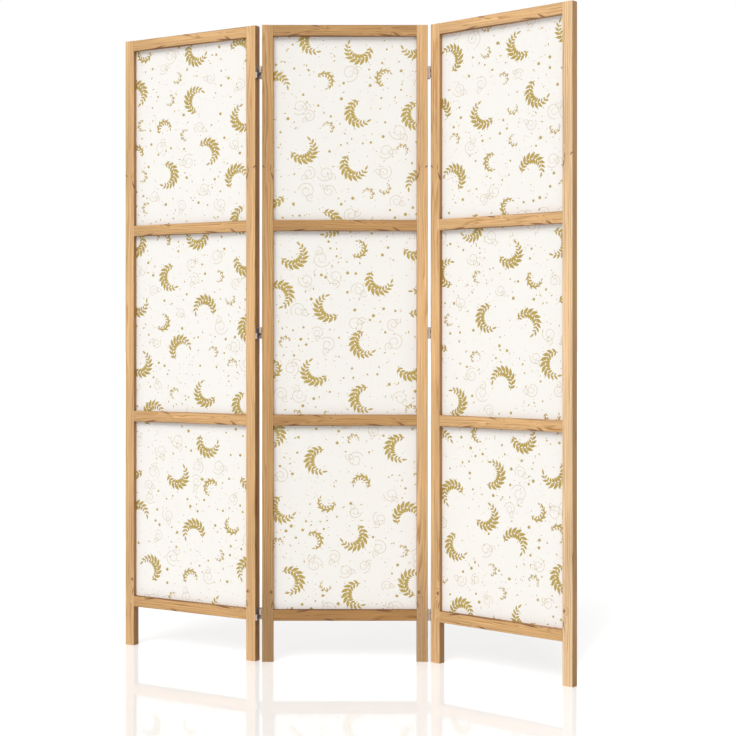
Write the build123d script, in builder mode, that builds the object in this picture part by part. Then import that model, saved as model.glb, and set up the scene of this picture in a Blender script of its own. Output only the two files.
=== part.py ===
from build123d import *
import os
from math import atan, degrees

# Folding screen of three pine frames with canvas infills, joined by hinges that fold both ways.
# Millimetres, +Z up, front towards -Y, stored folded as a loose Z with its feet at Z = 0.

# Panel frame sizes
panel_width = 445.0
panel_height = 1710.0
panel_depth = 22.0
stile_width = 30.0
rail_height = 30.0
leg_height = 110.0
pane_count = 3
edge_round = 1.2

# Rebate behind the panes, with the canvas and the battens that hold it
canvas_setback = 12.0
canvas_thickness = 1.0
rebate_width = 8.0
batten_recess = 0.4
batten_round = 0.8
seat_clearance = 0.25

# Mortise and tenon joints
tenon_length = 15.0
tenon_thickness = 6.0
tenon_height = 20.0
tenon_setback = 3.0
mortise_clearance = 0.1

# Brads driven through the middle rails into the cross battens
brad_radius = 0.8
brad_length = 18.0
brad_sinking = 0.3
brad_end_distance = 9.0
brad_rise = 12.0

# How the panels stand at rest
joint_gap = 8.0
left_fold_angle = 30.0
right_fold_angle = 40.0

# Two-way hinges
hinge_height = 31.0
hinge_end_distance = 126.5
middle_hinge_rise = 28.0
axis_stand_off = 0.5
plate_thickness = 1.2
plate_margin = 2.4
barrel_radius = 3.2
pin_radius = 1.5
running_clearance = 0.05
knuckle_clearance = 0.25
link_thickness = 2.0

# Hinge screws
screw_radius = 1.4
screw_head_radius = 2.7
screw_length = 12.0
screw_clearance = 0.05
screw_rise = 8.0
screw_stagger = 4.0

# Heights of the rails and of the hinges
clear_height = panel_height - leg_height - (pane_count + 1) * rail_height
pane_height = clear_height / pane_count
rail_bottoms = [leg_height + i * (rail_height + pane_height) for i in range(pane_count + 1)]
middle_rail_bottoms = rail_bottoms[1:-1]
pane_bottoms = [bottom + rail_height for bottom in rail_bottoms[:-1]]
hinge_heights = {
    "bottom": hinge_end_distance,
    "middle": panel_height / 2 + middle_hinge_rise,
    "top": panel_height - hinge_end_distance,
}

# Places across a panel, in its own frame: X along the width from its middle, Y back from its front face
half_width = panel_width / 2
opening_half_width = half_width - stile_width
rebate_half_width = opening_half_width + rebate_width
rebate_bottom = leg_height + rail_height - rebate_width
rebate_top = panel_height - rail_height + rebate_width
hinge_line = half_width + joint_gap / 2
front_axis = -axis_stand_off
back_axis = panel_depth + axis_stand_off
batten_front = canvas_setback + canvas_thickness
batten_depth = panel_depth - batten_recess - batten_front
knuckle_height = (hinge_height - 3 * knuckle_clearance) / 4
pin_length = 2 * knuckle_height + knuckle_clearance
countersink_angle = 2 * degrees(atan((screw_head_radius - screw_radius) / plate_thickness))


def folded(side, pivot_depth, angle):
    """Frame of an outer panel, turned by an angle about its hinge line at the given depth."""
    line_x = side * hinge_line
    straight = Pos(side * (panel_width + joint_gap), 0, 0)
    turn = Pos(line_x, pivot_depth, 0) * Rot(0, 0, angle) * Pos(-line_x, -pivot_depth, 0)
    return Plane(turn * straight)


def outline_centres(frame):
    """Centres of the rounded corners of a panel's plan, in the frame of the middle panel."""
    reach = half_width - edge_round
    depths = (edge_round, panel_depth - edge_round)
    return [frame.from_local_coords(Vector(x, y, 0)) for x in (-reach, reach) for y in depths]


# Frames of the three panels, moved so that the origin lies under the centre of the whole screen
middle_frame = Plane.XY
left_frame = folded(-1, back_axis, -left_fold_angle)
right_frame = folded(1, front_axis, -right_fold_angle)
corners = outline_centres(left_frame) + outline_centres(middle_frame) + outline_centres(right_frame)
centre_x = (min(c.X for c in corners) + max(c.X for c in corners)) / 2
centre_y = (min(c.Y for c in corners) + max(c.Y for c in corners)) / 2
to_origin = Pos(-centre_x, -centre_y, 0)
frames = {
    "left": Plane(to_origin * left_frame.location),
    "middle": Plane(to_origin * middle_frame.location),
    "right": Plane(to_origin * right_frame.location),
}


def frame_at(frame, x, y, z, x_dir, z_dir):
    """Plane at a place in a panel's frame, turned by directions given in that frame."""
    origin = frame.from_local_coords(Vector(x, y, z))
    turned_x = frame.from_local_coords(Vector(*x_dir)) - frame.origin
    turned_z = frame.from_local_coords(Vector(*z_dir)) - frame.origin
    return Plane(origin=origin, x_dir=turned_x, z_dir=turned_z)


def save(piece, name):
    """Labels a finished piece and writes its file."""
    piece.part.label = name
    export_step(piece.part, f"parts/{name}.step")


def screw_seats(frame, side):
    """Planes on a stile's hinged edge, one at each hinge screw, facing away from the stile."""
    seats = []
    for height in hinge_heights.values():
        for sign in (-1, 1):
            depth = panel_depth / 2 + sign * screw_stagger
            z = height + sign * screw_rise
            seats.append(frame_at(frame, side * half_width, depth, z, (0, 1, 0), (side, 0, 0)))
    return seats


def build_stile(name, frame, side):
    """Upright of a frame, with its rebate and its mortises."""
    with BuildPart() as stile:
        with BuildSketch(frame):
            with Locations((side * (half_width - stile_width / 2), panel_depth / 2)):
                RectangleRounded(stile_width, panel_depth, edge_round)
        extrude(amount=panel_height)
        with BuildSketch(frame.offset(rebate_bottom)):
            with Locations((side * opening_half_width, canvas_setback)):
                align_x = Align.MIN if side > 0 else Align.MAX
                Rectangle(rebate_width, panel_depth, align=(align_x, Align.MIN))
        extrude(amount=rebate_top - rebate_bottom, mode=Mode.SUBTRACT)
        mortise_height = tenon_height + 2 * mortise_clearance
        mortise_thickness = tenon_thickness + 2 * mortise_clearance
        tenon_depth = tenon_setback + tenon_thickness / 2
        for bottom in rail_bottoms:
            z = bottom + rail_height / 2
            mouth = frame_at(frame, side * opening_half_width, tenon_depth, z, (0, 1, 0), (side, 0, 0))
            with BuildSketch(mouth):
                Rectangle(mortise_thickness, mortise_height)
            extrude(amount=tenon_length + 5 * mortise_clearance, mode=Mode.SUBTRACT)
    save(stile, name)


def build_rail(name, frame, bottom, kind):
    """Cross rail with a tenon at each end; an end rail is full depth and has a rebate."""
    depth = canvas_setback if kind == "middle" else panel_depth
    start = frame_at(frame, -opening_half_width, 0, bottom, (0, 1, 0), (1, 0, 0))
    with BuildPart() as rail:
        with BuildSketch(start):
            with Locations((depth / 2, rail_height / 2)):
                RectangleRounded(depth, rail_height, edge_round)
            if kind == "middle":
                with Locations((depth, rail_height / 2)):
                    Rectangle(2 * edge_round, rail_height, align=(Align.MAX, Align.CENTER))
            if kind == "top":
                with Locations((canvas_setback, 0)):
                    Rectangle(depth, rebate_width, align=(Align.MIN, Align.MIN), mode=Mode.SUBTRACT)
            if kind == "bottom":
                with Locations((canvas_setback, rail_height)):
                    Rectangle(depth, rebate_width, align=(Align.MIN, Align.MAX), mode=Mode.SUBTRACT)
        extrude(amount=2 * opening_half_width)
        with BuildSketch(start.offset(-tenon_length)):
            with Locations((tenon_setback + tenon_thickness / 2, rail_height / 2)):
                Rectangle(tenon_thickness, tenon_height)
        extrude(amount=2 * (opening_half_width + tenon_length))
    save(rail, name)


def brad_places(frame, rail_bottom, depth):
    """Planes at a middle rail's two brads, at a depth behind the front face, facing forwards."""
    reach = opening_half_width - brad_end_distance
    z = rail_bottom + brad_rise
    return [frame_at(frame, x, depth, z, (1, 0, 0), (0, -1, 0)) for x in (-reach, reach)]


def build_canvas(name, frame):
    """Stretched canvas in the rebate, one sheet behind all the panes."""
    width = 2 * (rebate_half_width - seat_clearance)
    height = rebate_top - rebate_bottom - 2 * seat_clearance
    back = frame_at(frame, 0, batten_front, rebate_bottom + seat_clearance, (1, 0, 0), (0, -1, 0))
    with BuildPart() as canvas:
        with BuildSketch(back):
            Rectangle(width, height, align=(Align.CENTER, Align.MIN))
        extrude(amount=canvas_thickness)
    save(canvas, name)


def build_side_battens(name, frame):
    """Upright battens in the stile rebates, a pair beside each pane."""
    width = rebate_width - seat_clearance
    centre = opening_half_width + width / 2
    with BuildPart() as battens:
        for bottom in pane_bottoms:
            with BuildSketch(frame.offset(bottom + seat_clearance)):
                with Locations((-centre, batten_front), (centre, batten_front)):
                    Rectangle(width, batten_depth, align=(Align.CENTER, Align.MIN))
            extrude(amount=pane_height - 2 * seat_clearance)
        back_edges = battens.edges().filter_by(Axis.Z).group_by(frame_depth(frame))[-1]
        chamfer(back_edges, batten_round)
    save(battens, name)


def frame_depth(frame):
    """Sort key: how far an edge's middle lies behind a panel's front face, to a tenth."""
    return lambda edge: round(frame.to_local_coords(edge.center()).Y, 1)


def build_end_battens(name, frame):
    """Level battens in the rebates of the top and bottom rails."""
    length = 2 * (rebate_half_width - seat_clearance)
    height = rebate_width - seat_clearance
    lower = (leg_height + rail_height, Align.MAX)
    upper = (panel_height - rail_height, Align.MIN)
    with BuildPart() as battens:
        for edge_height, align_z in (lower, upper):
            start = frame_at(frame, -length / 2, batten_front, edge_height, (0, 1, 0), (1, 0, 0))
            with BuildSketch(start):
                Rectangle(batten_depth, height, align=(Align.MIN, align_z))
            extrude(amount=length)
    save(battens, name)


def build_cross_battens(name, frame):
    """Battens behind the middle rails, which clamp the canvas to them."""
    length = 2 * (rebate_half_width - seat_clearance)
    with BuildPart() as battens:
        for bottom in middle_rail_bottoms:
            start = frame_at(frame, -length / 2, batten_front, bottom, (0, 1, 0), (1, 0, 0))
            with BuildSketch(start):
                Rectangle(batten_depth, rail_height, align=(Align.MIN, Align.MIN))
            extrude(amount=length)
        back_edges = battens.edges().filter_by(frame.location.x_axis).group_by(frame_depth(frame))[-1]
        chamfer(back_edges, batten_round)
    save(battens, name)


def build_rail_brads(name, frame):
    """Brads driven through the middle rails and the canvas into the cross battens."""
    with BuildPart() as brads:
        for bottom in middle_rail_bottoms:
            for tip in brad_places(frame, bottom, brad_sinking + brad_length):
                with BuildSketch(tip):
                    Circle(brad_radius)
                extrude(amount=brad_length)
    save(brads, name)


def knuckle_bottom(height, half):
    """Lower end of the leaf knuckle in a hinge's upper half (+1) or lower half (-1)."""
    if half > 0:
        return height + hinge_height / 2 - knuckle_height
    return height - hinge_height / 2


def pin_bottom(height, half):
    """Lower end of the pin in a hinge's upper half (+1) or lower half (-1)."""
    if half > 0:
        return height + hinge_height / 2 - pin_length
    return height - hinge_height / 2


def link_bottom(height, half):
    """Lower end of the link in a hinge's upper half (+1) or lower half (-1)."""
    if half > 0:
        return height + knuckle_clearance / 2
    return height - knuckle_clearance / 2 - knuckle_height


def build_hinge_plate(name, frame, side, height, front_half):
    """Hinge leaf on a stile's edge, with a knuckle on its front axis and one on its back axis."""
    knuckles = ((front_axis, 1, front_half), (back_axis, -1, -front_half))
    plate_width = back_axis - front_axis - 2 * plate_margin
    align_x = Align.MAX if side > 0 else Align.MIN
    with BuildPart() as plate:
        with BuildSketch(frame.offset(height - hinge_height / 2)):
            with Locations((side * (half_width + plate_thickness / 2), panel_depth / 2)):
                Rectangle(plate_thickness, plate_width)
        extrude(amount=hinge_height)
        for axis_depth, inward, half in knuckles:
            align_y = Align.MIN if inward > 0 else Align.MAX
            with BuildSketch(frame.offset(knuckle_bottom(height, half))):
                with Locations((side * hinge_line, axis_depth)):
                    Circle(barrel_radius)
                    Rectangle(joint_gap / 2, plate_margin, align=(align_x, align_y))
                    Circle(pin_radius + running_clearance, mode=Mode.SUBTRACT)
            extrude(amount=knuckle_height)
        for seat in screw_seats(frame, side):
            offset_from_hinge = abs(seat.origin.Z - height)
            if offset_from_hinge < hinge_height / 2:
                with Locations(seat.offset(plate_thickness)):
                    CounterSinkHole(
                        screw_radius + screw_clearance,
                        screw_head_radius + screw_clearance,
                        depth=plate_thickness,
                        counter_sink_angle=countersink_angle,
                    )
    save(plate, name)


def build_links(name, frame, side, half):
    """Crossing links of a joint's hinges, each with an eye on the front axis and one on the back axis."""
    with BuildPart() as links:
        for height in hinge_heights.values():
            with BuildSketch(frame.offset(link_bottom(height, half))):
                with Locations((side * hinge_line, front_axis), (side * hinge_line, back_axis)):
                    Circle(barrel_radius)
                with Locations((side * hinge_line, panel_depth / 2)):
                    Rectangle(link_thickness, back_axis - front_axis)
                with Locations((side * hinge_line, front_axis), (side * hinge_line, back_axis)):
                    Circle(pin_radius + running_clearance, mode=Mode.SUBTRACT)
            extrude(amount=knuckle_height)
    save(links, name)


def build_hinge_pins(name, frame, hinged_edges):
    """Pins of the knuckles that a panel carries, one on each axis of each hinge."""
    with BuildPart() as pins:
        for side, front_half in hinged_edges:
            for height in hinge_heights.values():
                for axis_depth, half in ((front_axis, front_half), (back_axis, -front_half)):
                    with BuildSketch(frame.offset(pin_bottom(height, half))):
                        with Locations((side * hinge_line, axis_depth)):
                            Circle(pin_radius)
                    extrude(amount=pin_length)
    save(pins, name)


def build_hinge_screws(name, frame, hinged_edges):
    """Countersunk screws driven through a panel's hinge leaves into its stiles."""
    with BuildPart() as screws:
        for side, _ in hinged_edges:
            for seat in screw_seats(frame, side):
                axis_plane = Plane(origin=seat.origin, x_dir=seat.x_dir, z_dir=seat.y_dir)
                with BuildSketch(axis_plane):
                    with BuildLine():
                        Polyline(
                            (0, -plate_thickness),
                            (screw_head_radius, -plate_thickness),
                            (screw_radius, 0),
                            (screw_radius, screw_length),
                            (0, screw_length),
                            (0, -plate_thickness),
                        )
                    make_face()
                revolve(axis=Axis(seat.origin, seat.z_dir))
    save(screws, name)


os.makedirs("parts", exist_ok=True)

# Wooden frames with their canvas
hinged_edges = {"left": [(1, -1)], "middle": [(-1, 1), (1, 1)], "right": [(-1, -1)]}
for panel, frame in frames.items():
    build_stile(f"{panel}_panel_left_stile", frame, -1)
    build_stile(f"{panel}_panel_right_stile", frame, 1)
    build_rail(f"{panel}_panel_bottom_rail", frame, rail_bottoms[0], "bottom")
    build_rail(f"{panel}_panel_lower_rail", frame, rail_bottoms[1], "middle")
    build_rail(f"{panel}_panel_upper_rail", frame, rail_bottoms[2], "middle")
    build_rail(f"{panel}_panel_top_rail", frame, rail_bottoms[3], "top")
    build_canvas(f"{panel}_panel_canvas", frame)
    build_side_battens(f"{panel}_panel_side_battens", frame)
    build_end_battens(f"{panel}_panel_end_battens", frame)
    build_cross_battens(f"{panel}_panel_cross_battens", frame)
    build_rail_brads(f"{panel}_panel_rail_brads", frame)
    build_hinge_pins(f"{panel}_panel_hinge_pins", frame, hinged_edges[panel])
    build_hinge_screws(f"{panel}_panel_hinge_screws", frame, hinged_edges[panel])

# Hinge leaves: the middle panel's front knuckles are in the upper half, the outer panels' in the lower half
for place, height in hinge_heights.items():
    build_hinge_plate(f"left_joint_{place}_outer_plate", frames["left"], 1, height, -1)
    build_hinge_plate(f"left_joint_{place}_inner_plate", frames["middle"], -1, height, 1)
    build_hinge_plate(f"right_joint_{place}_inner_plate", frames["middle"], 1, height, 1)
    build_hinge_plate(f"right_joint_{place}_outer_plate", frames["right"], -1, height, -1)

# Crossing links: the left joint turns about its back axis and the right joint about its front axis
build_links("left_joint_upper_links", frames["middle"], -1, 1)
build_links("left_joint_lower_links", frames["left"], 1, -1)
build_links("right_joint_upper_links", frames["right"], -1, 1)
build_links("right_joint_lower_links", frames["middle"], 1, -1)
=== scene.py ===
"""Dresses the japanese folding screen: pine frames, printed canvas, steel hinges and a pale studio."""

import math
import random

import bpy
from bpy.props import FloatProperty, FloatVectorProperty, IntProperty, PointerProperty
from mathutils import Matrix, Vector
from mathutils.geometry import delaunay_2d_cdt


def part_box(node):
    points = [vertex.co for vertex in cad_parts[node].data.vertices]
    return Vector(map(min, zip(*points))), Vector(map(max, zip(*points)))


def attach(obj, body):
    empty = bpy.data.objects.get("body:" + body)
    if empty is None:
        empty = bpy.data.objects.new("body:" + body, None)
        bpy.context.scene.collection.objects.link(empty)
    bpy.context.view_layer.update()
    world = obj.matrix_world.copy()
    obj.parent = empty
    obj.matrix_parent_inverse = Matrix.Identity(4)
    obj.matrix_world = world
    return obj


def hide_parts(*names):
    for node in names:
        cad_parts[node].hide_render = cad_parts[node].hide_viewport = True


bl_info = {
    "name": "Japanese folding screen",
    "version": (1, 0, 0),
    "blender": (4, 5, 0),
    "location": "View3D > Sidebar > Folding screen",
    "description": "Pine, printed canvas, steel hinges and a pale studio for a three-panel folding screen",
    "category": "Object",
}

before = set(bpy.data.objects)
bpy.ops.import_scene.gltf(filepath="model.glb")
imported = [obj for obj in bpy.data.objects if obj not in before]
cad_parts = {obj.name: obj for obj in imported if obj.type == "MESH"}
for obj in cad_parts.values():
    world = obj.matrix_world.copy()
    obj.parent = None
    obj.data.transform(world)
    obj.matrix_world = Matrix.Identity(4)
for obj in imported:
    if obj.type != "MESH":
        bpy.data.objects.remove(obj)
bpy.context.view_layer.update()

PANELS = ("left", "middle", "right")

# How light the timber of each panel is, against the light pine of the settings. "rail" stands for
# the two middle rails and the battens. The shades are partly the timber's own tone and partly painted
# light and shade: the middle panel's rails and the bottom rails carry painted shade, and the right
# panel's outer stile carries painted light, paler and washed out.
MEMBER_SHADES = {
    "left": {
        "left_stile": 0.96, "right_stile": 0.99, "top_rail": 0.9, "rail": 0.86, "bottom_rail": 0.8,
    },
    "middle": {
        "left_stile": 0.77, "right_stile": 0.99, "top_rail": 0.65, "rail": 0.65, "bottom_rail": 0.52,
    },
    "right": {
        "left_stile": 0.97, "right_stile": 1.12, "top_rail": 0.97, "rail": 0.92, "bottom_rail": 0.84,
    },
}
BATTEN_SHADE = 1.05

# Painted shade at a stile's foot, near the floor: how dark its foot is, and the heights from its middle
# between which it turns so.
FOOT_PAINTED_SHADES = {"left": 0.92, "middle": 0.6, "right": 0.92}
FOOT_LOW, FOOT_HIGH = -0.8, -0.48

# Painted shade on a stile's or rail's sides: how much darker and browner they are than its faces.
SIDE_PAINTED_SHADE = (0.56, 0.46, 0.32, 1)

# Sizes of the frames in metres: half the width of a stile's or rail's face, how far a stile's middle
# lies beyond the canvas's edge, and the battens. Battens get no painted shade on their sides, so their
# half face reaches past all of them.
HALF_FACE = 0.015
BATTEN_HALF_FACE = 1.0
STILE_OUTSET = 0.0072
BATTEN_WIDTH = 0.0078
CROSS_BATTEN_WIDTH = 0.03

# Tones of the print, in the order of the cloth's materials.
BARE, GOLD, FAINT = range(3)

# The cloth: its margin inside the CAD canvas, the pitch of its mesh, and the seeds of its print.
CLOTH_MARGIN = 0.0003
MESH_PITCH = 0.014
PRINT_SEED, PRINT_SEED_STEP = 41, 7

# The printed motifs in metres: ranges of sizes, the gap between two pairs of leaves, and the size
# below which a sprig has leaves between the pairs. Headings are in radians.
SCROLL_SIZES = (0.03, 0.05)
BLOSSOM_SIZES = (0.006, 0.0105)
SEED_SIZES = (0.006, 0.009)
SEED_WIDTH = 0.0032
DOT_RADII = (0.0008, 0.001, 0.0013, 0.0017)
GOLD_DOT_SHARE = 0.75
LEAF_PITCH = 0.0078
DENSE_SPRIG = 0.06
ANY_HEADING = (0, 6.28)

# Period of the wave texture at scale 1.
WAVE_PERIOD = math.pi / 10

# Where the lamps shine from, how wide they are in degrees, and how far the room's light leans to
# the left.
KEY_FROM, KEY_WIDTH = (-0.24, -0.67, 0.7), 40
FILL_FROM, FILL_WIDTH = (0.5, 0.72, 0.5), 60
LEFT_SHARE, RIGHT_SHARE = 1.6, 0.4

FLOOR_SIZE = 120
FLOOR_MIDDLE = (0, 20, 0)


def linear(red, green, blue):
    """A colour written as 0 to 255 screen values, as the linear values that Blender keeps."""
    shares = (value / 255 for value in (red, green, blue))
    return tuple(s / 12.92 if s <= 0.04045 else ((s + 0.055) / 1.055) ** 2.4 for s in shares)


class PineSettings(bpy.types.PropertyGroup):
    """The timber of the frames and battens."""

    early_wood: FloatVectorProperty(
        name="Early wood", description="Pale wood between the growth rings",
        subtype="COLOR", size=3, min=0, max=1, default=linear(227, 186, 135),
    )
    late_wood: FloatVectorProperty(
        name="Late wood", description="Darker wood of the growth rings",
        subtype="COLOR", size=3, min=0, max=1, default=linear(194, 144, 87),
    )
    # Also the colour of the painted shade lines along the rails' edges.
    knot: FloatVectorProperty(
        name="Knot", description="Dark wood of knots and flame marks",
        subtype="COLOR", size=3, min=0, max=1, default=linear(112, 66, 30),
    )
    ring_spacing: FloatProperty(
        name="Ring spacing", description="Mean distance between two growth rings",
        subtype="DISTANCE", unit="LENGTH", min=0.001, max=0.02, default=0.0046,
    )
    roughness: FloatProperty(
        name="Roughness", description="How matt the varnish is", subtype="FACTOR",
        min=0, max=1, default=0.5,
    )


class CanvasSettings(bpy.types.PropertyGroup):
    """The stretched cloth and its print."""

    cloth: FloatVectorProperty(
        name="Cloth", description="Ground colour of the canvas",
        subtype="COLOR", size=3, min=0, max=1, default=linear(246, 243, 238),
    )
    gold: FloatVectorProperty(
        name="Gold", description="Colour of the printed sprigs and blossoms",
        subtype="COLOR", size=3, min=0, max=1, default=linear(190, 165, 82),
    )
    faint: FloatVectorProperty(
        name="Faint line", description="Colour of the faint scroll lines",
        subtype="COLOR", size=3, min=0, max=1, default=linear(212, 200, 172),
    )
    thickness: FloatProperty(
        name="Thickness", description="Thickness of the canvas",
        subtype="DISTANCE", unit="LENGTH", min=0.0002, max=0.001, default=0.0008,
    )
    slack: FloatProperty(
        name="Slack", description="How far the canvas bellies between the rails",
        subtype="DISTANCE", unit="LENGTH", min=0, max=0.002, default=0.0004,
    )
    thread_pitch: FloatProperty(
        name="Thread pitch", description="Distance between two threads of the weave",
        subtype="DISTANCE", unit="LENGTH", min=0.0003, max=0.005, default=0.0011,
    )
    large_sprig: FloatProperty(
        name="Large sprig", description="Size of the largest printed sprigs",
        subtype="DISTANCE", unit="LENGTH", min=0.02, max=0.2, default=0.077,
    )
    large_count: IntProperty(
        name="Large sprigs", description="Large sprigs on each canvas", min=0, max=60, default=30,
    )
    small_count: IntProperty(
        name="Small sprigs", description="Small sprigs on each canvas", min=0, max=60, default=20,
    )
    scroll_count: IntProperty(
        name="Scrolls", description="Faint scroll lines on each canvas", min=0, max=100, default=46,
    )
    blossom_count: IntProperty(
        name="Blossoms", description="Small blossoms on each canvas", min=0, max=300, default=110,
    )
    seed_count: IntProperty(
        name="Seeds", description="Single small leaves on each canvas", min=0, max=300, default=90,
    )
    dot_count: IntProperty(
        name="Dots", description="Dots on each canvas", min=0, max=2000, default=1200,
    )


class SteelSettings(bpy.types.PropertyGroup):
    """The steel of the hinges, screws and brads."""

    plated: FloatVectorProperty(
        name="Plated steel", description="Colour of leaves, links and pins",
        subtype="COLOR", size=3, min=0, max=1, default=linear(204, 190, 182),
    )
    nail: FloatVectorProperty(
        name="Nail steel", description="Colour of the brads' heads",
        subtype="COLOR", size=3, min=0, max=1, default=linear(104, 92, 84),
    )
    roughness: FloatProperty(
        name="Roughness", description="How matt the plating is", subtype="FACTOR",
        min=0, max=1, default=0.42,
    )


class StudioSettings(bpy.types.PropertyGroup):
    """The floor, the lamps and the camera."""

    floor: FloatVectorProperty(
        name="Floor", description="Colour of the floor",
        subtype="COLOR", size=3, min=0, max=1, default=(0.8, 0.8, 0.8),
    )
    floor_glow: FloatProperty(
        name="Floor glow", description="Light that the floor shows the camera on top of the lamps'",
        min=0, max=1, default=0.23,
    )
    floor_roughness: FloatProperty(
        name="Floor roughness", description="How blurred the floor's mirror images are",
        subtype="FACTOR", min=0, max=1, default=0.05,
    )
    ambient: FloatProperty(
        name="Ambient", description="Strength of the even light from the room", min=0, max=2,
        default=0.47,
    )
    key: FloatProperty(
        name="Key light", description="Strength of the soft light from the upper left",
        min=0, max=10, default=1.84,
    )
    fill: FloatProperty(
        name="Fill light", description="Strength of the soft light from behind",
        min=0, max=10, default=0.78,
    )
    camera_place: FloatVectorProperty(
        name="Camera place", description="Where the camera stands", subtype="XYZ", unit="LENGTH",
        size=3, default=(0.0828, -3.93, 0.871),
    )
    focal_length: FloatProperty(
        name="Focal length", description="Lens, in millimetres on a 36 mm sensor",
        min=20, max=200, default=72.0,
    )
    frame_drop: FloatProperty(
        name="Frame drop", description="How far the frame is shifted down, in frame widths",
        min=-0.3, max=0.3, default=0.0416,
    )


class ScreenSettings(bpy.types.PropertyGroup):
    """Settings of the folding screen, one group for each step."""

    pine: PointerProperty(type=PineSettings)
    canvas: PointerProperty(type=CanvasSettings)
    steel: PointerProperty(type=SteelSettings)
    studio: PointerProperty(type=StudioSettings)


class PanelPlace:
    """Where a panel stands: the foot of its canvas's middle, and how far it is turned."""

    def __init__(self, panel):
        corners = [v.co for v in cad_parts[f"{panel}_panel_canvas"].data.vertices]
        self.bottom = min(c.z for c in corners)
        self.top = max(c.z for c in corners)
        foot = [Vector(c.xy) for c in corners if c.z < self.bottom + 1e-5]
        gaps = [b - a for a in foot for b in foot if b.x > a.x]
        widest = max(gap.length for gap in gaps)
        edge = min((gap for gap in gaps if gap.length > widest / 2), key=lambda gap: gap.length)
        self.half_width = edge.length / 2
        self.turn = math.atan2(edge.y, edge.x)
        low = Vector((min(p.x for p in foot), min(p.y for p in foot)))
        high = Vector((max(p.x for p in foot), max(p.y for p in foot)))
        middle = (low + high) / 2
        self.origin = Vector((middle.x, middle.y, 0))
        self.matrix = Matrix.Translation(self.origin) @ Matrix.Rotation(self.turn, 4, "Z")

    def world(self, across, back, up):
        """A point of the panel: across from its middle, back from its canvas, up from the floor."""
        return self.matrix @ Vector((across, back, up))


class Recipe:
    """The node tree of a material or a world, written node by node."""

    def __init__(self, owner):
        self.owner = owner
        owner.use_nodes = True
        self.tree = owner.node_tree
        self.tree.nodes.clear()

    def feed(self, socket, value):
        if isinstance(value, bpy.types.NodeSocket):
            self.tree.links.new(value, socket)
        else:
            socket.default_value = value

    def node(self, kind, inputs=None, **settings):
        made = self.tree.nodes.new(kind)
        for key, value in settings.items():
            setattr(made, key, value)
        for key, value in (inputs or {}).items():
            self.feed(made.inputs[key], value)
        return made

    def place(self):
        return self.node("ShaderNodeTexCoord").outputs["Object"]

    def mapping(self, vector, kind="POINT", location=(0, 0, 0), rotation=(0, 0, 0), scale=(1, 1, 1)):
        inputs = {"Vector": vector, "Location": location, "Rotation": rotation, "Scale": scale}
        return self.node("ShaderNodeMapping", inputs, vector_type=kind).outputs["Vector"]

    def noise(self, vector, scale=1.0, detail=2.0, roughness=0.5, output="Fac"):
        inputs = {"Vector": vector, "Scale": scale, "Detail": detail, "Roughness": roughness}
        return self.node("ShaderNodeTexNoise", inputs).outputs[output]

    def maths(self, operation, *values, clamp=False):
        inputs = dict(enumerate(values))
        return self.node("ShaderNodeMath", inputs, operation=operation, use_clamp=clamp).outputs[0]

    def vectors(self, operation, *values):
        made = self.node("ShaderNodeVectorMath", dict(enumerate(values)), operation=operation)
        return made.outputs["Value" if operation == "LENGTH" else "Vector"]

    def spread(self, value, low, high, new_low=0.0, new_high=1.0, soft=False):
        inputs = {
            "Value": value, "From Min": low, "From Max": high, "To Min": new_low, "To Max": new_high,
        }
        kind = "SMOOTHSTEP" if soft else "LINEAR"
        return self.node("ShaderNodeMapRange", inputs, interpolation_type=kind).outputs["Result"]

    def mix(self, share, first, second, blend="MIX"):
        made = self.node("ShaderNodeMix", data_type="RGBA", blend_type=blend)
        self.feed(made.inputs[0], share)
        self.feed(made.inputs[6], first)
        self.feed(made.inputs[7], second)
        return made.outputs[2]

    def ramp(self, share, stops):
        made = self.node("ShaderNodeValToRGB", {"Fac": share})
        elements = made.color_ramp.elements
        while len(elements) < len(stops):
            elements.new(0.5)
        for element, (position, colour) in zip(elements, stops):
            element.position = position
            element.color = colour
        return made.outputs["Color"]

    def bump(self, height, strength, distance):
        inputs = {"Height": height, "Strength": strength, "Distance": distance}
        return self.node("ShaderNodeBump", inputs).outputs["Normal"]

    def finish(self, colour, roughness, normal, **plain):
        inputs = {"Base Color": colour, "Roughness": roughness, "Normal": normal, **plain}
        surface = self.node("ShaderNodeBsdfPrincipled", inputs).outputs["BSDF"]
        self.node("ShaderNodeOutputMaterial", {"Surface": surface})
        return self.owner


def tinted(colour, shade):
    """A pine colour made lighter or darker, browner where darker and washed out where lighter."""
    green, blue = (1.3, 2) if shade < 1 else (1.9, 3.5)
    return (colour[0] * shade, colour[1] * shade**green, colour[2] * shade**blue, 1)


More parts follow.
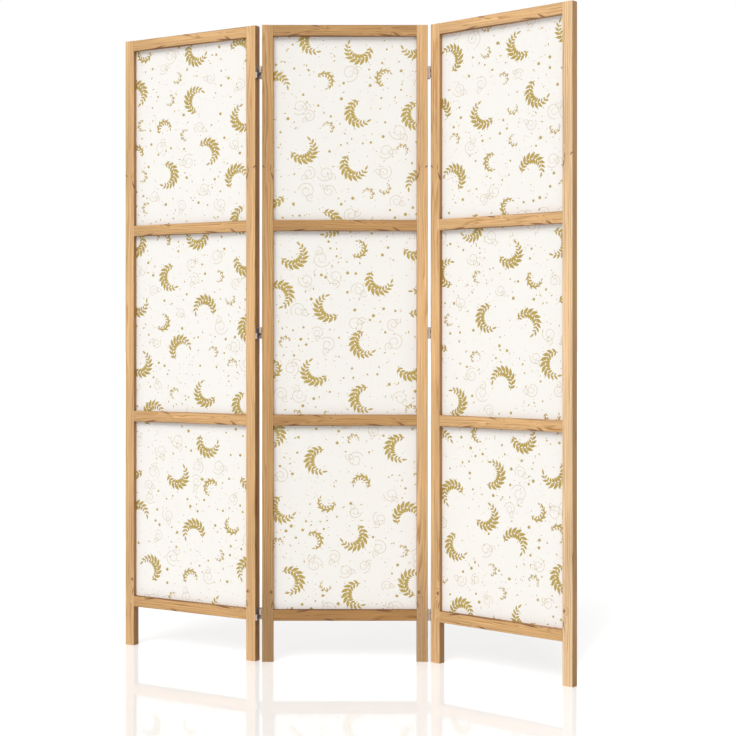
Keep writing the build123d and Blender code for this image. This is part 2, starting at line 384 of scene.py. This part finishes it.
def pine(name, place, centre, level, shade, marks, settings, foot_painted_shade, half_face):
    """Pine whose growth rings run along the member, with its knots and flame marks, and painted shade.

    centre is the member's middle in the panel, level is whether its grain lies level, and a mark
    is (across, along, size, stretch, lean) from that middle; on a rail, one long thin mark is a painted
    shade line along its edge. The sides, half_face away from that middle, carry painted shade, darker
    and browner than the faces, and a foot shade below 1 paints shade on the foot of a stile.
    """
    pick = random.Random(name)
    recipe = Recipe(bpy.data.materials.new(name))
    turn = math.pi / 2 if level else 0
    member = recipe.mapping(
        recipe.place(), "TEXTURE", place.world(*centre), (0, turn, place.turn)
    )
    wander = recipe.noise(
        recipe.mapping(member, location=(pick.uniform(0, 9),) * 3, scale=(22, 22, 3.0)),
        detail=3, output="Color",
    )
    side = pick.choice((-1, 1))
    pith = (side * pick.uniform(0.012, 0.034), -pick.uniform(0.022, 0.045), pick.uniform(-3, 3))
    stem = recipe.mapping(
        member, location=pith,
        rotation=(math.radians(pick.uniform(-0.9, 0.9)), math.radians(pick.uniform(-0.7, 0.7)), 0),
    )
    stem = recipe.vectors("MULTIPLY_ADD", wander, (0.02, 0.02, 0), stem)
    reach = recipe.vectors("LENGTH", recipe.vectors("MULTIPLY", stem, (1, 1, 0)))
    # Knots and flame marks, and on rails a painted shade line along an edge.
    knots = []
    for across, along, size, stretch, lean in marks:
        spot = recipe.mapping(
            member, "TEXTURE", (across, -0.012, along), (0, lean, 0), (size, size * 4, size * stretch)
        )
        away = recipe.vectors("LENGTH", spot)
        pull = recipe.spread(away, 0.0, 4.5, settings.ring_spacing * 1.9, 0.0, soft=True)
        reach = recipe.maths("ADD", reach, pull)
        knots.append(away)
    uneven = recipe.noise(recipe.vectors("MULTIPLY", stem, (95, 95, 0.5)), detail=1)
    uneven = recipe.maths("MULTIPLY", uneven, 2.4)
    phase = recipe.maths("MULTIPLY_ADD", reach, 1 / settings.ring_spacing, uneven)
    ring = recipe.maths("FRACT", phase)
    early, late = settings.early_wood, settings.late_wood
    between = [(a + b) / 2 for a, b in zip(early, late)]
    colour = recipe.ramp(ring, (
        (0.0, tinted(late, shade)),
        (0.1, tinted(early, shade)),
        (0.45, tinted(early, shade)),
        (0.78, tinted(between, shade)),
        (0.94, tinted(late, shade * (0.66 if level else 0.9))),
    ))
    fade = recipe.noise(recipe.mapping(member, location=(6, 1, 2), scale=(70, 70, 5)), detail=1)
    plain = tuple(0.7 * a + 0.3 * b for a, b in zip(early, late))
    colour = recipe.mix(recipe.spread(fade, 0.35, 0.62, 0.2, 1.0), tinted(plain, shade), colour)
    fibres = recipe.noise(recipe.mapping(member, scale=(520, 520, 7)), detail=3, roughness=0.6)
    streak_and_foot_shade = recipe.spread(fibres, 0.25, 0.75, 0.74 if level else 0.85, 1.24 if level else 1.13)
    drift = recipe.noise(recipe.mapping(member, location=(4, 2, 7), scale=(45, 45, 3.2)), detail=1)
    streak_and_foot_shade = recipe.maths("MULTIPLY", streak_and_foot_shade, recipe.spread(drift, 0.3, 0.7, 0.87, 1.13))
    # Painted shade: darker towards a stile's foot, near the floor.
    if foot_painted_shade < 1:
        height = recipe.node("ShaderNodeSeparateXYZ", {"Vector": member}).outputs["Z"]
        foot = recipe.spread(height, FOOT_LOW, FOOT_HIGH, foot_painted_shade, 1.0, soft=True)
        streak_and_foot_shade = recipe.maths("MULTIPLY", streak_and_foot_shade, foot)
    # Painted shade on the member's sides, darker and browner than its faces.
    aside = recipe.node("ShaderNodeSeparateXYZ", {"Vector": member}).outputs["X"]
    aside = recipe.maths("ABSOLUTE", aside)
    side_shade_mask = recipe.spread(aside, half_face - 0.0009, half_face - 0.0001, 0.0, 1.0, soft=True)
    pores = recipe.noise(recipe.mapping(member, location=(1, 5, 3), scale=(900, 900, 26)), detail=1)
    pores = recipe.spread(pores, 0.66, 0.78, 0.0, 0.3, soft=True)
    colour = recipe.mix(1.0, colour, streak_and_foot_shade, "MULTIPLY")
    dark = tinted(settings.knot, min(1.1, shade))
    colour = recipe.mix(pores, colour, dark)
    colour = recipe.mix(side_shade_mask, colour, SIDE_PAINTED_SHADE, "MULTIPLY")
    for away in knots:
        ragged = recipe.maths("MULTIPLY_ADD", recipe.spread(fibres, 0.3, 0.7), 0.5, away)
        colour = recipe.mix(recipe.spread(ragged, 0.75, 1.7, 0.85, 0.0, soft=True), colour, dark)
    gloss = recipe.spread(ring, 0.5, 1.0, settings.roughness + 0.05, settings.roughness - 0.05)
    grain = recipe.maths("MULTIPLY_ADD", fibres, 0.6, recipe.maths("MULTIPLY", ring, 0.4))
    normal = recipe.bump(grain, 0.35, 0.0003)
    return recipe.finish(colour, gloss, normal)


def plated_steel(name, colour, roughness):
    """Bright steel with fine brush marks, a clouded plating and darker rubbed spots."""
    recipe = Recipe(bpy.data.materials.new(name))
    place = recipe.place()
    brushed = recipe.noise(recipe.mapping(place, scale=(260, 260, 3800)), detail=2)
    clouds = recipe.noise(place, scale=420, detail=3)
    tone = recipe.maths("MULTIPLY_ADD", brushed, 0.5, recipe.maths("MULTIPLY", clouds, 0.5))
    dull = tuple(value * 0.62 for value in colour)
    shade = recipe.ramp(tone, ((0.3, (*dull, 1)), (0.62, (*colour, 1))))
    gloss = recipe.spread(clouds, 0.3, 0.7, roughness - 0.08, roughness + 0.12)
    return recipe.finish(shade, gloss, recipe.bump(brushed, 0.2, 0.00008), Metallic=1.0)


def woven(name, colour, place, settings, mottle, metallic, roughness):
    """Canvas with its threads, bare or under an ink that lies in the weave."""
    recipe = Recipe(bpy.data.materials.new(name))
    cloth = recipe.mapping(recipe.place(), "TEXTURE", place.origin, (0, 0, place.turn))
    threads = {"Vector": cloth, "Scale": WAVE_PERIOD / settings.thread_pitch, "Distortion": 0.4}
    warp = recipe.node("ShaderNodeTexWave", threads, bands_direction="X")
    weft = recipe.node("ShaderNodeTexWave", threads, bands_direction="Z")
    weave = recipe.maths("MAXIMUM", warp.outputs["Fac"], weft.outputs["Fac"])
    slubs = recipe.maths(
        "ADD",
        recipe.noise(recipe.mapping(cloth, scale=(620, 1, 9)), detail=2),
        recipe.noise(recipe.mapping(cloth, scale=(9, 1, 620)), detail=2),
    )
    tone = recipe.spread(slubs, 0.7, 1.3, 1 - mottle, 1.0)
    tone = recipe.maths("MULTIPLY", tone, recipe.spread(weave, 0.2, 1.0, 1 - mottle, 1.0))
    shade = recipe.mix(1.0, (*colour, 1), tone, "MULTIPLY")
    height = recipe.maths("MULTIPLY_ADD", slubs, 0.5, weave)
    normal = recipe.bump(height, 0.3, 0.00012)
    gloss = recipe.spread(slubs, 0.7, 1.3, roughness - 0.06, roughness + 0.06)
    return recipe.finish(shade, gloss, normal, Metallic=metallic)


def leaf(base, heading, length, width):
    """Outline of a leaf that tapers to both ends."""
    along = Vector((math.cos(heading), math.sin(heading)))
    across = Vector((-along.y, along.x))
    steps = (0.1, 0.28, 0.5, 0.74, 0.9)
    bulge = [across * width / 2 * math.sin(math.pi * t**0.85) for t in steps]
    spine = [base + along * length * t for t in steps]
    one_side = [p - b for p, b in zip(spine, bulge)]
    other_side = [p + b for p, b in zip(spine, bulge)]
    return [base, *one_side, base + along * length, *reversed(other_side)]


def strip(points, widths):
    """Outline of a line of varying width."""
    left, right = [], []
    befores, afters = points[:1] + points, points[1:] + points[-1:]
    for before, point, after, width in zip(befores, points, afters, widths):
        heading = (after - before).normalized()
        across = Vector((-heading.y, heading.x)) * width / 2
        left.append(point - across)
        right.append(point + across)
    return left + right[::-1]


def round_spot(centre, radius, sides, start=0.0):
    """Outline of a dot."""
    turns = (start + 2 * math.pi * k / sides for k in range(sides))
    return [centre + Vector((math.cos(a), math.sin(a))) * radius for a in turns]


def sprig(centre, size, start, sense):
    """A laurel sprig bent round on itself: a tapering stem, leaves in pairs and three berries.

    Small sprigs have a third leaf between each two pairs.
    """
    radius = size * 0.4
    sweep = sense * math.radians(205)

    def on_stem(share):
        angle = start + sweep * share
        return centre + Vector((math.cos(angle), math.sin(angle))) * radius

    count = 25
    shares = [k / (count - 1) for k in range(count)]
    shapes = [strip([on_stem(t) for t in shares], [size * (0.03 - 0.018 * t) for t in shares])]
    pairs = max(5, round(size / LEAF_PITCH))
    for k in range(pairs):
        share = 0.05 + 0.87 * k / (pairs - 1)
        ahead = start + sweep * share + sense * math.pi / 2
        swell = 0.72 + 0.5 * math.sin(math.pi * min(1, share * 1.15))
        inner = leaf(on_stem(share), ahead + sense * 1.2, size * 0.19 * swell, size * 0.085 * swell)
        outer = leaf(on_stem(share), ahead - sense * 0.55, size * 0.24 * swell, size * 0.1 * swell)
        shapes += [inner, outer]
    for k in range(0 if size > DENSE_SPRIG else pairs - 1):
        share = 0.12 + 0.87 * k / (pairs - 1)
        ahead = start + sweep * share + sense * math.pi / 2
        shapes.append(leaf(on_stem(share), ahead - 0.2 * sense, size * 0.2, size * 0.1))
    shapes.append(leaf(on_stem(1), start + sweep + sense * math.pi / 2, size * 0.2, size * 0.07))
    for share in (0.3, 0.52, 0.74):
        angle = start + sweep * share
        outer = centre + Vector((math.cos(angle), math.sin(angle))) * (radius + size * 0.2)
        shapes.append(round_spot(outer, size * 0.017, 7))
    return shapes


def blossom(centre, size, start):
    """Five round petals about a small heart."""
    petals = []
    for k in range(5):
        heading = start + 2 * math.pi * k / 5
        along = Vector((math.cos(heading), math.sin(heading)))
        petals.append(round_spot(centre + along * size * 0.29, size * 0.19, 7, heading))
    petals.append(round_spot(centre, size * 0.17, 6))
    return petals


def scroll(centre, size, start, sense):
    """A fine line that curls in on itself, with a smaller curl that branches from it."""
    shapes = []
    for scale, offset, turns in ((1.0, 0.0, 1.55), (0.55, 2.2, 1.2)):
        count = 40
        outward = Vector((math.cos(start + offset), math.sin(start + offset)))
        middle = centre + outward * size * (1 - scale) * 0.9
        points = []
        for k in range(count):
            share = k / (count - 1)
            angle = start + offset + sense * turns * 2 * math.pi * share
            radius = size / 2 * scale * (1 - 0.8 * share)
            points.append(middle + Vector((math.cos(angle), math.sin(angle))) * radius)
        shapes.append(strip(points, [0.0014 - 0.0004 * k / count for k in range(count)]))
    return shapes


def scatter(pick, taken, count, radius, half_width, height, tries):
    """Places for motifs of one size, each the clearest of a few tries."""
    places = []
    for _ in range(count):
        best, clearest = None, -1.0
        for _ in range(tries):
            across = pick.uniform(-half_width, half_width) * 1.02
            spot = Vector((across, pick.uniform(0.0, height)))
            clear = min(((spot - other).length - reach for other, reach in taken), default=1.0)
            if clear > clearest:
                best, clearest = spot, clear
        taken.append((best, radius))
        places.append(best)
    return places


def print_design(seed, half_width, height, settings):
    """Outlines of one canvas's print, each with its tone."""
    pick = random.Random(seed)
    shapes = []
    taken = []
    sizes = (
        (settings.large_sprig, settings.large_count, 60),
        (settings.large_sprig * 0.66, settings.small_count // 3 + 2, 40),
        (settings.large_sprig * 0.44, settings.small_count - settings.small_count // 3, 30),
    )
    for size, count, tries in sizes:
        for spot in scatter(pick, taken, count, size * 0.62, half_width, height, tries):
            motif = sprig(spot, size, pick.uniform(0, 2 * math.pi), pick.choice((-1, 1)))
            shapes += [(outline, GOLD) for outline in motif]
    for spot in scatter(pick, taken, settings.scroll_count, 0.016, half_width, height, 12):
        size, heading = pick.uniform(*SCROLL_SIZES), pick.uniform(*ANY_HEADING)
        motif = scroll(spot, size, heading, pick.choice((-1, 1)))
        shapes += [(outline, FAINT) for outline in motif]
    for spot in scatter(pick, taken, settings.blossom_count, 0.006, half_width, height, 8):
        motif = blossom(spot, pick.uniform(*BLOSSOM_SIZES), pick.uniform(*ANY_HEADING))
        shapes += [(outline, GOLD) for outline in motif]
    for spot in scatter(pick, taken, settings.seed_count, 0.003, half_width, height, 6):
        heading, length = pick.uniform(*ANY_HEADING), pick.uniform(*SEED_SIZES)
        shapes.append((leaf(spot, heading, length, SEED_WIDTH), GOLD))
    for _ in range(settings.dot_count):
        spot = Vector((pick.uniform(-half_width, half_width), pick.uniform(0, height)))
        dot = round_spot(spot, pick.choice(DOT_RADII), 5)
        shapes.append((dot, GOLD if pick.random() < GOLD_DOT_SHARE else FAINT))
    return shapes


def cut_canvas(shapes, half_width, height, mesh_pitch):
    """Flat triangles of the canvas whose edges follow the print: points, triangles and tones."""
    border = [(-half_width, 0), (half_width, 0), (half_width, height), (-half_width, height)]
    points = [Vector(p) for p in border]
    rings = [list(range(4))]
    for outline, _ in shapes:
        rings.append(list(range(len(points), len(points) + len(outline))))
        points += outline
    columns = round(2 * half_width / mesh_pitch)
    rows = round(height / mesh_pitch)
    for row in range(1, rows):
        for column in range(1, columns):
            across = -half_width + 2 * half_width * column / columns
            points.append(Vector((across, height * row / rows)))
    cut, _, triangles, _, _, sources = delaunay_2d_cdt(points, [], rings, 1, 1e-6)
    tones = [BARE, *(tone for _, tone in shapes)]
    kept, kept_tones = [], []
    for triangle, origins in zip(triangles, sources):
        if 0 in origins:
            kept.append(triangle)
            inks = [tones[source] for source in origins if source]
            kept_tones.append(GOLD if GOLD in inks else max(inks, default=BARE))
    used = sorted({corner for triangle in kept for corner in triangle})
    place_of = {corner: number for number, corner in enumerate(used)}
    kept = [[place_of[corner] for corner in triangle] for triangle in kept]
    return [cut[corner] for corner in used], kept, kept_tones


def deselect():
    """Leaves nothing selected or active, in object mode."""
    if bpy.context.object and bpy.context.object.mode != "OBJECT":
        bpy.ops.object.mode_set(mode="OBJECT")
    bpy.ops.object.select_all(action="DESELECT")


def only(piece):
    """Selects one piece and makes it active."""
    deselect()
    piece.select_set(True)
    bpy.context.view_layer.objects.active = piece


def settings_of(context):
    """The folding screen's settings in the open scene."""
    return context.scene.folding_screen


class PineFrames(bpy.types.Operator):
    """Give every stile, rail and batten its own length of pine"""

    bl_idname = "folding_screen.pine_frames"
    bl_label = "Pine frames"
    bl_options = {"REGISTER", "UNDO"}

    def execute(self, context):
        settings = settings_of(context).pine
        for panel in PANELS:
            place = PanelPlace(panel)
            for node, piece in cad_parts.items():
                member = node.removeprefix(f"{panel}_panel_")
                if member != node and member.endswith(("stile", "rail", "battens")):
                    self.dress(piece, panel, member, place, settings)
        return {"FINISHED"}

    def dress(self, piece, panel, member, place, settings):
        low, high = (corner.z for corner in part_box(piece.name))
        level = member.endswith("rail") or member in ("end_battens", "cross_battens")
        shades = MEMBER_SHADES[panel]
        shade = shades.get(member, shades["rail"])
        marks = []
        across = 0.0
        foot_painted_shade = 1.0
        half_face = HALF_FACE
        if member.endswith("stile"):
            side = -1 if member == "left_stile" else 1
            across = side * (place.half_width + STILE_OUTSET)
            inner = -side * 0.013
            marks = [
                (inner, 0.447, 0.0019, 7.0, side * 0.32),
                (-inner * 0.9, 0.475, 0.0018, 3.2, side * 0.95),
                (inner * 0.62, 0.47, 0.0011, 9.0, -side * 0.12),
                (inner * 0.7, -0.668, 0.0036, 1.3, 0.2),
                (inner * 0.92, -0.7, 0.0015, 7.0, -side * 0.2),
            ]
            # Painted shade on the stile's foot, near the floor.
            foot_painted_shade = FOOT_PAINTED_SHADES[panel]
        elif member.endswith("rail"):
            pick = random.Random(f"{panel} {member}")
            marks = [
                (0.0108, 0.135 + pick.uniform(-0.02, 0.02), 0.0026, 4.5, 0.5),
                (0.0125, 0.1 + pick.uniform(-0.02, 0.02), 0.0021, 11.0, 0.08),
                (0.0122, -0.115 + pick.uniform(-0.03, 0.03), 0.0022, 9.0, -0.14),
                (-0.0122, -0.02 + pick.uniform(-0.06, 0.06), 0.0018, 8.0, 0.2),
                # A painted shade line along the rail's lower edge, along its upper edge on the bottom
                # rail.
                (0.0144, -0.06, 0.0013, 90.0, 0.004),
            ]
            if member == "bottom_rail":
                marks = [(-mark[0], *mark[1:]) for mark in marks[1:]]
        else:
            shade *= BATTEN_SHADE
            half_face = BATTEN_HALF_FACE
        centre = (across, 0.0, (low + high) / 2)
        wood = pine(
            f"pine {panel} {member}", place, centre, level, shade, marks, settings, foot_painted_shade, half_face
        )
        for material_slot in piece.material_slots:
            material_slot.material = wood


class CanvasSheets(bpy.types.Operator):
    """Stretch a printed canvas in each frame"""

    bl_idname = "folding_screen.canvas_sheets"
    bl_label = "Canvas sheets"
    bl_options = {"REGISTER", "UNDO"}

    def execute(self, context):
        settings = settings_of(context).canvas
        for number, panel in enumerate(PANELS):
            place = PanelPlace(panel)
            width, height = 2 * place.half_width, place.top - place.bottom
            cut = (place.half_width - CLOTH_MARGIN, height - 2 * CLOTH_MARGIN)
            shapes = print_design(PRINT_SEED + PRINT_SEED_STEP * number, *cut, settings)
            points, triangles, tones = cut_canvas(shapes, *cut, MESH_PITCH)
            front = -settings.thickness / 2
            corners = []
            for point in points:
                belly = self.belly(point.x / place.half_width, point.y / height, number)
                up = place.bottom + CLOTH_MARGIN + point.y
                corners.append(place.world(point.x, front + settings.slack * belly, up))
            mesh = bpy.data.meshes.new(f"{panel}_panel_cloth")
            mesh.from_pydata(corners, [], triangles)
            for material in self.inks(panel, place, settings):
                mesh.materials.append(material)
            mesh.polygons.foreach_set("material_index", tones)
            mesh.update()
            cloth = bpy.data.objects.new(f"{panel}_panel_cloth", mesh)
            context.scene.collection.objects.link(cloth)
            only(cloth)
            shell = cloth.modifiers.new("Thickness", "SOLIDIFY")
            shell.thickness = settings.thickness
            shell.offset = -1
            bpy.ops.object.modifier_apply(modifier=shell.name)
            bpy.ops.object.shade_smooth_by_angle(angle=math.radians(40))
            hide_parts(f"{panel}_panel_canvas")
            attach(cloth, f"{panel}_panel")
        return {"FINISHED"}

    def belly(self, across, up, number):
        """How far back the cloth lies, as a share of its slack, 0 where battens hold it."""
        pane = (up * 3) % 1
        held = min(1, (1 - abs(across)) * 8) * math.sin(math.pi * pane) ** 0.5
        ripple = 0.35 * math.sin(5 * across + 2 * number) * math.cos(9 * up + number)
        return held * (0.5 + ripple)

    def inks(self, panel, place, settings):
        """Materials of the bare cloth, the gold and the faint line, in the order of the tones."""
        return (
            woven(f"canvas {panel}", settings.cloth, place, settings, 0.02, 0.0, 0.85),
            woven(f"gold print {panel}", settings.gold, place, settings, 0.1, 0.2, 0.5),
            woven(f"faint print {panel}", settings.faint, place, settings, 0.04, 0.0, 0.7),
        )


class BattenBrads(bpy.types.Operator):
    """Drive small brads through the battens that hold the canvas"""

    bl_idname = "folding_screen.batten_brads"
    bl_label = "Batten brads"
    bl_options = {"REGISTER", "UNDO"}

    head_radius = 0.0013
    head_height = 0.0005

    def execute(self, context):
        steel = plated_steel("batten brad steel", tuple(settings_of(context).steel.nail), 0.45)
        pattern = self.model_head()
        end_low, end_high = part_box("middle_panel_end_battens")
        side_low, side_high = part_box("middle_panel_side_battens")
        back = side_high.y - PanelPlace("middle").origin.y
        length = (side_high.z - side_low.z - 2 * CROSS_BATTEN_WIDTH) / 3
        for panel in PANELS:
            place = PanelPlace(panel)
            edge = place.half_width - BATTEN_WIDTH / 2
            spots = []
            for pane in range(3):
                foot = side_low.z + pane * (length + CROSS_BATTEN_WIDTH)
                for share in (0.1, 0.5, 0.9):
                    spots += [(side * edge, foot + length * share) for side in (-1, 1)]
            for up in (end_low.z + BATTEN_WIDTH / 2, end_high.z - BATTEN_WIDTH / 2):
                spots += [(across, up) for across in (-0.15, 0.0, 0.15)]
            heads = []
            for across, up in spots:
                head = pattern.copy()
                head.data = pattern.data.copy()
                context.scene.collection.objects.link(head)
                head.matrix_world = place.matrix @ Matrix.Translation((across, back, up))
                heads.append(head)
            only(heads[0])
            for head in heads:
                head.select_set(True)
            bpy.ops.object.join()
            bpy.ops.object.transform_apply(location=True, rotation=True, scale=True)
            brads = heads[0]
            brads.name = f"{panel}_panel_batten_brads"
            brads.data.materials.clear()
            brads.data.materials.append(steel)
            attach(brads, f"{panel}_panel")
        bpy.data.objects.remove(pattern)
        return {"FINISHED"}

    def model_head(self):
        """One brad's head at the origin, standing proud towards +Y, with a crowned top."""
        deselect()
        bpy.ops.mesh.primitive_cylinder_add(
            vertices=12, radius=self.head_radius, depth=2 * self.head_height,
            location=(0, 0, 0), rotation=(-math.pi / 2, 0, 0),
        )
        head = bpy.context.object
        bpy.ops.object.transform_apply(location=True, rotation=True, scale=True)
        for face in head.data.polygons:
            face.select = face.center.y > self.head_height * 0.9
        bpy.ops.object.mode_set(mode="EDIT")
        bpy.ops.mesh.select_mode(type="FACE")
        bpy.ops.mesh.inset(thickness=self.head_radius * 0.35, depth=self.head_height * 0.3)
        bpy.ops.mesh.inset(thickness=self.head_radius * 0.3, depth=self.head_height * 0.1)
        bpy.ops.object.mode_set(mode="OBJECT")
        bpy.ops.object.shade_smooth_by_angle(angle=math.radians(40))
        return head


class HingeSteel(bpy.types.Operator):
    """Plate the hinges, pins and screws, and darken the heads of the brads"""

    bl_idname = "folding_screen.hinge_steel"
    bl_label = "Hinge steel"
    bl_options = {"REGISTER", "UNDO"}

    def execute(self, context):
        settings = settings_of(context).steel
        plated = plated_steel("plated steel", tuple(settings.plated), settings.roughness)
        darker = tuple(0.8 * value for value in settings.plated)
        pin = plated_steel("pin steel", darker, settings.roughness - 0.06)
        nail = plated_steel("nail steel", tuple(settings.nail), settings.roughness + 0.1)
        finishes = {
            "plate": plated, "links": plated, "hinge_pins": pin, "hinge_screws": pin, "rail_brads": nail,
        }
        for node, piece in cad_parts.items():
            for ending, steel in finishes.items():
                if node.endswith(ending):
                    for material_slot in piece.material_slots:
                        material_slot.material = steel
        return {"FINISHED"}


class Studio(bpy.types.Operator):
    """Set up the pale floor, the soft lamps and the camera"""

    bl_idname = "folding_screen.studio"
    bl_label = "Studio"
    bl_options = {"REGISTER", "UNDO"}

    def execute(self, context):
        settings = settings_of(context).studio
        self.add_floor(settings)
        self.add_world(context.scene, settings)
        self.add_sun("Key", settings.key, KEY_FROM, KEY_WIDTH)
        self.add_sun("Fill", settings.fill, FILL_FROM, FILL_WIDTH)
        self.add_camera(context.scene, settings)
        context.scene.view_settings.view_transform = "Standard"
        return {"FINISHED"}

    def seen_directly(self, recipe):
        """1 for what the camera sees, also in a mirror or through glass, and 0 for light that falls."""
        path = recipe.node("ShaderNodeLightPath")
        seen = recipe.maths("ADD", path.outputs["Is Camera Ray"], path.outputs["Is Glossy Ray"])
        return recipe.maths("ADD", seen, path.outputs["Is Transmission Ray"], clamp=True)

    def add_floor(self, settings):
        deselect()
        bpy.ops.mesh.primitive_plane_add(size=FLOOR_SIZE, location=FLOOR_MIDDLE)
        floor = bpy.context.object
        floor.name = "Floor"
        bpy.ops.object.transform_apply(location=True, rotation=True, scale=True)
        recipe = Recipe(bpy.data.materials.new("pale floor"))
        glow = recipe.maths("MULTIPLY", self.seen_directly(recipe), settings.floor_glow)
        inputs = {
            "Base Color": (*settings.floor, 1), "Roughness": settings.floor_roughness,
            "Emission Color": (1, 1, 1, 1), "Emission Strength": glow,
        }
        surface = recipe.node("ShaderNodeBsdfPrincipled", inputs).outputs["BSDF"]
        recipe.node("ShaderNodeOutputMaterial", {"Surface": surface})
        floor.data.materials.append(recipe.owner)

    def add_world(self, scene, settings):
        world = bpy.data.worlds.new("Studio room")
        recipe = Recipe(world)
        towards = recipe.node("ShaderNodeTexCoord").outputs["Generated"]
        sideways = recipe.node("ShaderNodeSeparateXYZ", {"Vector": towards}).outputs["X"]
        left, right = settings.ambient * LEFT_SHARE, settings.ambient * RIGHT_SHARE
        even_light = recipe.spread(sideways, -1, 1, left, right)
        seen = self.seen_directly(recipe)
        room = recipe.maths("MULTIPLY_ADD", recipe.maths("SUBTRACT", 1.0, seen), even_light, seen)
        light = recipe.node("ShaderNodeBackground", {"Color": (1, 1, 1, 1), "Strength": room})
        recipe.node("ShaderNodeOutputWorld", {"Surface": light.outputs["Background"]})
        scene.world = world

    def add_sun(self, name, strength, towards, width):
        bpy.ops.object.light_add(type="SUN", location=Vector(towards) * 5)
        lamp = bpy.context.object
        lamp.name = name
        lamp.rotation_euler = (-Vector(towards)).to_track_quat("-Z", "Y").to_euler()
        lamp.data.energy = strength
        lamp.data.angle = math.radians(width)

    def add_camera(self, scene, settings):
        bpy.ops.object.camera_add(location=settings.camera_place, rotation=(math.pi / 2, 0, 0))
        camera = bpy.context.object
        camera.name = "Camera"
        camera.data.sensor_width = 36
        camera.data.lens = settings.focal_length
        camera.data.shift_y = -settings.frame_drop
        camera.data.clip_end = 200
        scene.camera = camera


class FoldingScreenPanel(bpy.types.Panel):
    """Sidebar panel with the folding screen's steps and settings"""

    bl_label = "Folding screen"
    bl_idname = "VIEW3D_PT_folding_screen"
    bl_space_type = "VIEW_3D"
    bl_region_type = "UI"
    bl_category = "Folding screen"

    def draw(self, context):
        settings = settings_of(context)
        groups = (
            ("Pine", settings.pine, PineFrames),
            ("Canvas", settings.canvas, CanvasSheets),
            ("Steel", settings.steel, HingeSteel),
            ("Brads", None, BattenBrads),
            ("Studio", settings.studio, Studio),
        )
        for title, group, operator in groups:
            box = self.layout.box()
            box.label(text=title)
            if group:
                for key in type(group).__annotations__:
                    box.prop(group, key)
            box.operator(operator.bl_idname)


CLASSES = (
    PineSettings, CanvasSettings, SteelSettings, StudioSettings, ScreenSettings,
    PineFrames, CanvasSheets, BattenBrads, HingeSteel, Studio, FoldingScreenPanel,
)


def register():
    for cls in CLASSES:
        bpy.utils.register_class(cls)
    bpy.types.Scene.folding_screen = PointerProperty(type=ScreenSettings)


def unregister():
    del bpy.types.Scene.folding_screen
    for cls in reversed(CLASSES):
        bpy.utils.unregister_class(cls)


def main():
    """Makes the whole scene."""
    register()
    bpy.ops.folding_screen.studio()
    bpy.ops.folding_screen.pine_frames()
    bpy.ops.folding_screen.canvas_sheets()
    bpy.ops.folding_screen.hinge_steel()
    bpy.ops.folding_screen.batten_brads()


if __name__ == "__main__":
    main()
